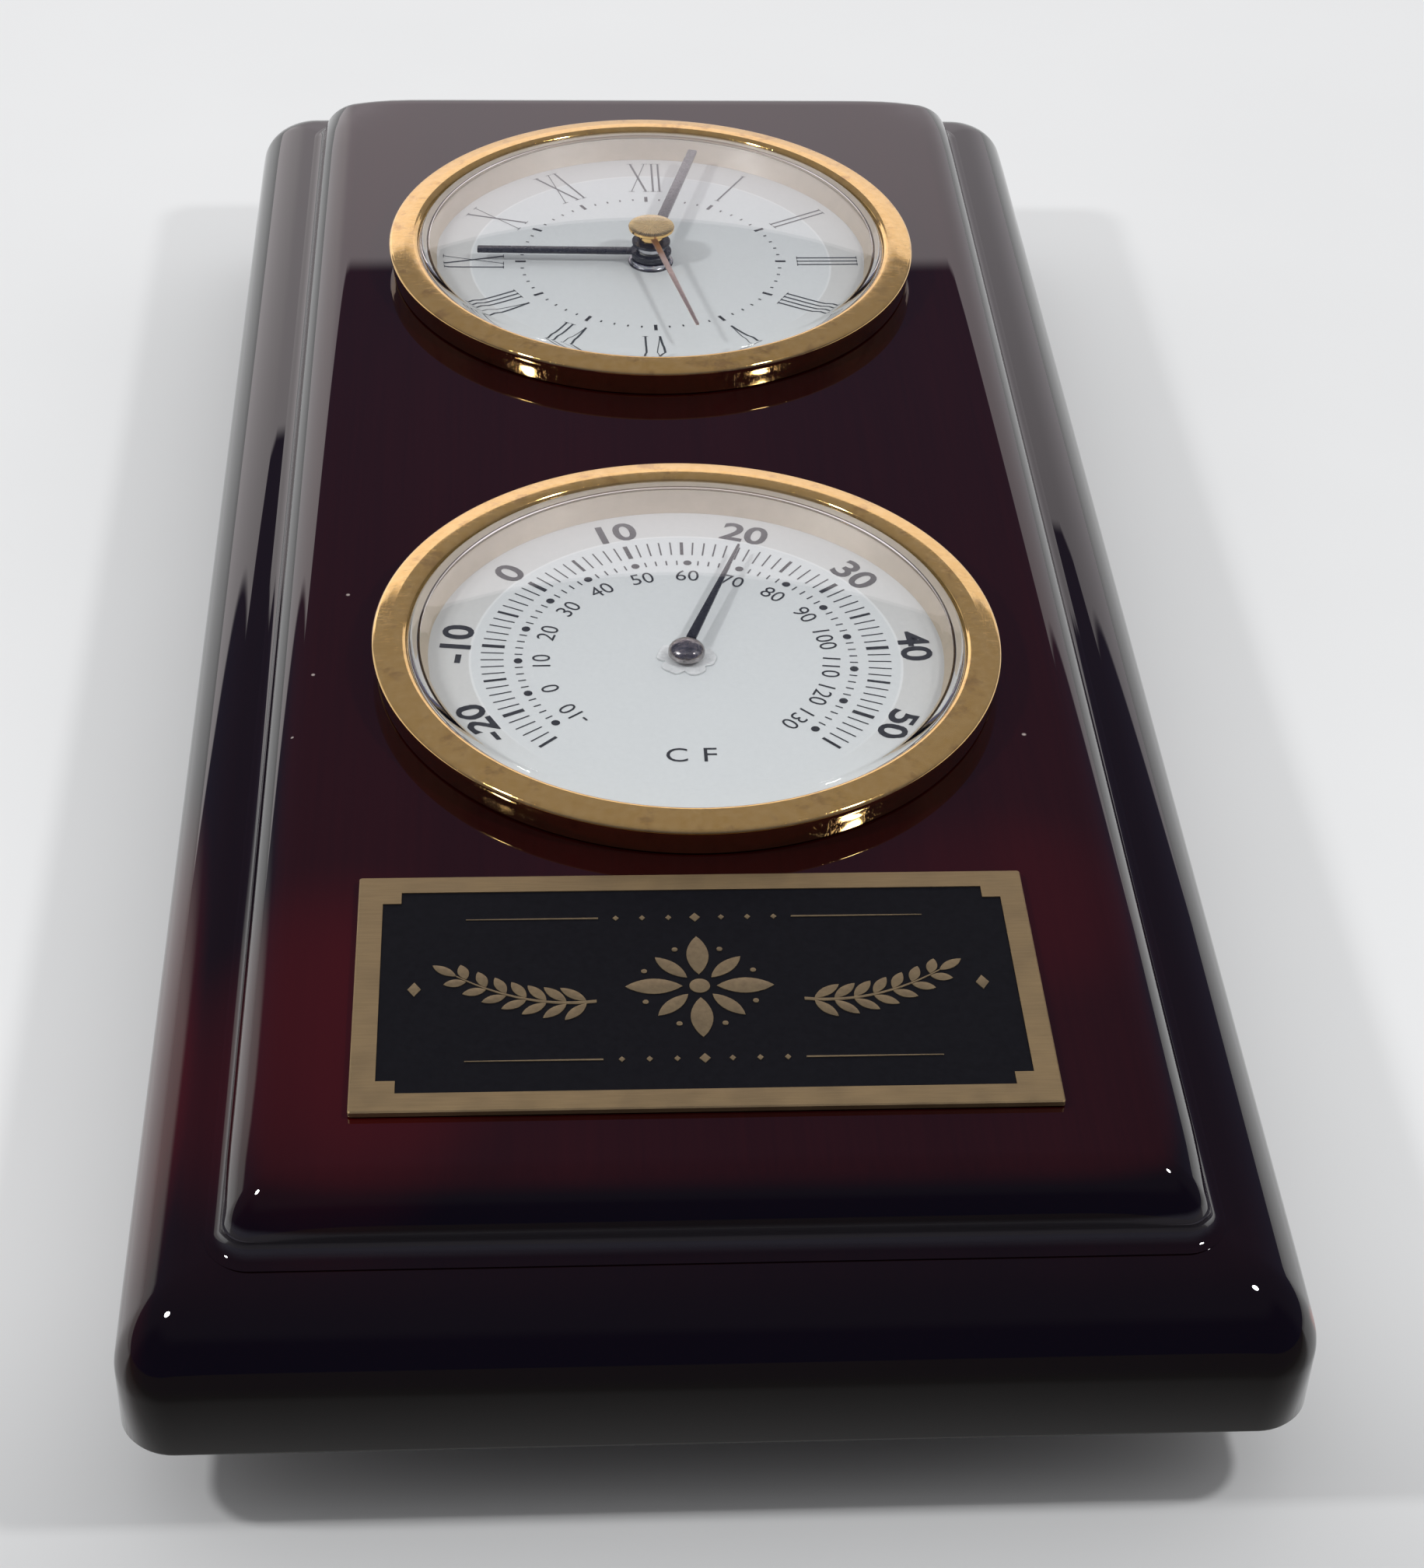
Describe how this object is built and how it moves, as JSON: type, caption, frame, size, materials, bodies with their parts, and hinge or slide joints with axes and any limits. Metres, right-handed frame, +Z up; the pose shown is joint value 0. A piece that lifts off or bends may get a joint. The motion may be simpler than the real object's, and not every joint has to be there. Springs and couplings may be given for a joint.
{
  "type": "clock and thermometer plaque",
  "caption": "Dark lacquered two-tier plaque lying on its back, with a quartz clock, a dial thermometer and a blank nameplate.",
  "frame": {"origin": "under the middle of the plaque, on the plane of the feet's under sides", "axes": "+X to the right of a reader, +Y towards the top end of the plaque (the clock's end), +Z up out of the dials; the plaque lies on its back"},
  "size_m": [0.1268, 0.2788, 0.0447],
  "materials": {
    "lacquered_wood": "high-gloss dark mahogany lacquer",
    "nameplate_brass": "dull brass border round a matt black field",
    "foam_tape": "double-sided foam tape",
    "zinc_steel": "zinc-plated",
    "black_rubber": "matt",
    "black_plastic": "moulded satin",
    "polished_gold": "polished gold lacquered, fine scratches",
    "clear_lens": "clear, polished",
    "cream_plastic": "satin cream",
    "dial_card": "matt off-white print",
    "nylon": "moulded natural",
    "circuit_green": "solder resist",
    "copper_wire": "enamelled winding",
    "magnet_dark": "bonded magnet",
    "black_hands": "satin black",
    "battery_steel": "nickel-plated",
    "contact_brass": "sprung strip",
    "bimetal": "rolled bimetal strip",
    "washer_film": "translucent film"
  },
  "bodies": {
    "plaque": {"base_board": "lacquered_wood", "front_panel": "lacquered_wood", "nameplate": "nameplate_brass", "nameplate_adhesive": "foam_tape", "hanger_plate": "zinc_steel", "hanger_screws": "zinc_steel", "rubber_feet": "black_rubber", "foot_screws": "zinc_steel", "clock_case": "black_plastic", "clock_gasket": "black_rubber", "clock_bezel": "polished_gold", "clock_lens": "clear_lens", "clock_spacer": "cream_plastic", "clock_dial": "dial_card", "movement_front": "nylon", "middle_plate": "zinc_steel", "movement_back": "nylon", "movement_screws": "zinc_steel", "mounting_nut": "zinc_steel", "circuit_board": "circuit_green", "coil_bobbin": "nylon", "drive_coil": "copper_wire", "stator": "zinc_steel", "battery": "battery_steel", "battery_contacts": "contact_brass", "thermo_case": "black_plastic", "thermo_gasket": "black_rubber", "thermo_bezel": "polished_gold", "thermo_lens": "clear_lens", "thermo_spacer": "cream_plastic", "thermo_dial": "dial_card", "thermo_bracket": "contact_brass", "bimetal_coil": "bimetal", "hub_washer": "washer_film"},
    "seconds": {"seconds_wheel": "nylon", "second_hand": "polished_gold"},
    "rotor_body": {"rotor": "magnet_dark"},
    "intermediate": {"intermediate_wheel": "nylon"},
    "third": {"third_wheel": "nylon"},
    "minutes": {"center_wheel": "nylon", "minute_hand": "black_hands"},
    "minute_work": {"minute_wheel": "nylon"},
    "hours": {"hour_wheel": "nylon", "hour_hand": "black_hands"},
    "setter": {"setting_knob": "black_plastic"},
    "cover": {"battery_cover": "black_plastic"},
    "indicator": {"pointer_arbor": "battery_steel", "thermo_pointer": "black_hands"}
  },
  "joints": [
    {"name": "seconds_turn", "type": "hinge", "parent": "plaque", "child": "seconds", "pos_m": [0, 0.069, 0.025], "axis": [0, 0, 1], "continuous": true},
    {"name": "rotor_turn", "type": "hinge", "parent": "plaque", "child": "rotor_body", "pos_m": [0.00453, 0.05978, 0.025], "axis": [0, 0, 1], "continuous": true},
    {"name": "intermediate_turn", "type": "hinge", "parent": "plaque", "child": "intermediate", "pos_m": [0.00536, 0.0645, 0.025], "axis": [0, 0, 1], "continuous": true},
    {"name": "third_turn", "type": "hinge", "parent": "plaque", "child": "third", "pos_m": [-0.00736, 0.06475, 0.025], "axis": [0, 0, 1], "continuous": true},
    {"name": "minutes_turn", "type": "hinge", "parent": "plaque", "child": "minutes", "pos_m": [0, 0.069, 0.025], "axis": [0, 0, 1], "continuous": true},
    {"name": "minute_work_turn", "type": "hinge", "parent": "plaque", "child": "minute_work", "pos_m": [0, 0.075, 0.025], "axis": [0, 0, 1], "continuous": true},
    {"name": "hours_turn", "type": "hinge", "parent": "plaque", "child": "hours", "pos_m": [0, 0.069, 0.025], "axis": [0, 0, 1], "continuous": true},
    {"name": "setter_turn", "type": "hinge", "parent": "plaque", "child": "setter", "pos_m": [0.003, 0.0802, 0.025], "axis": [0, 0, 1], "continuous": true},
    {"name": "cover_turn", "type": "hinge", "parent": "plaque", "child": "cover", "pos_m": [-0.0105, 0.079, 0.0187], "axis": [0, 0, -1], "range_deg": [0, 60]},
    {"name": "indicator_turn", "type": "hinge", "parent": "plaque", "child": "indicator", "pos_m": [0.0006, -0.0337, 0.0361], "axis": [0, 0, -1], "range_deg": [-153, 117], "stiffness_Nm_per_rad": 0.0004}
  ],
  "couplings": [
    {"joint": "rotor_turn", "follows": "seconds_turn", "ratio": 30},
    {"joint": "intermediate_turn", "follows": "seconds_turn", "ratio": -6},
    {"joint": "third_turn", "follows": "seconds_turn", "ratio": -0.13333},
    {"joint": "minutes_turn", "follows": "seconds_turn", "ratio": 0.016667},
    {"joint": "minute_work_turn", "follows": "seconds_turn", "ratio": -0.0055556},
    {"joint": "hours_turn", "follows": "seconds_turn", "ratio": 0.0013889},
    {"joint": "setter_turn", "follows": "seconds_turn", "ratio": 0.016667}
  ]
}
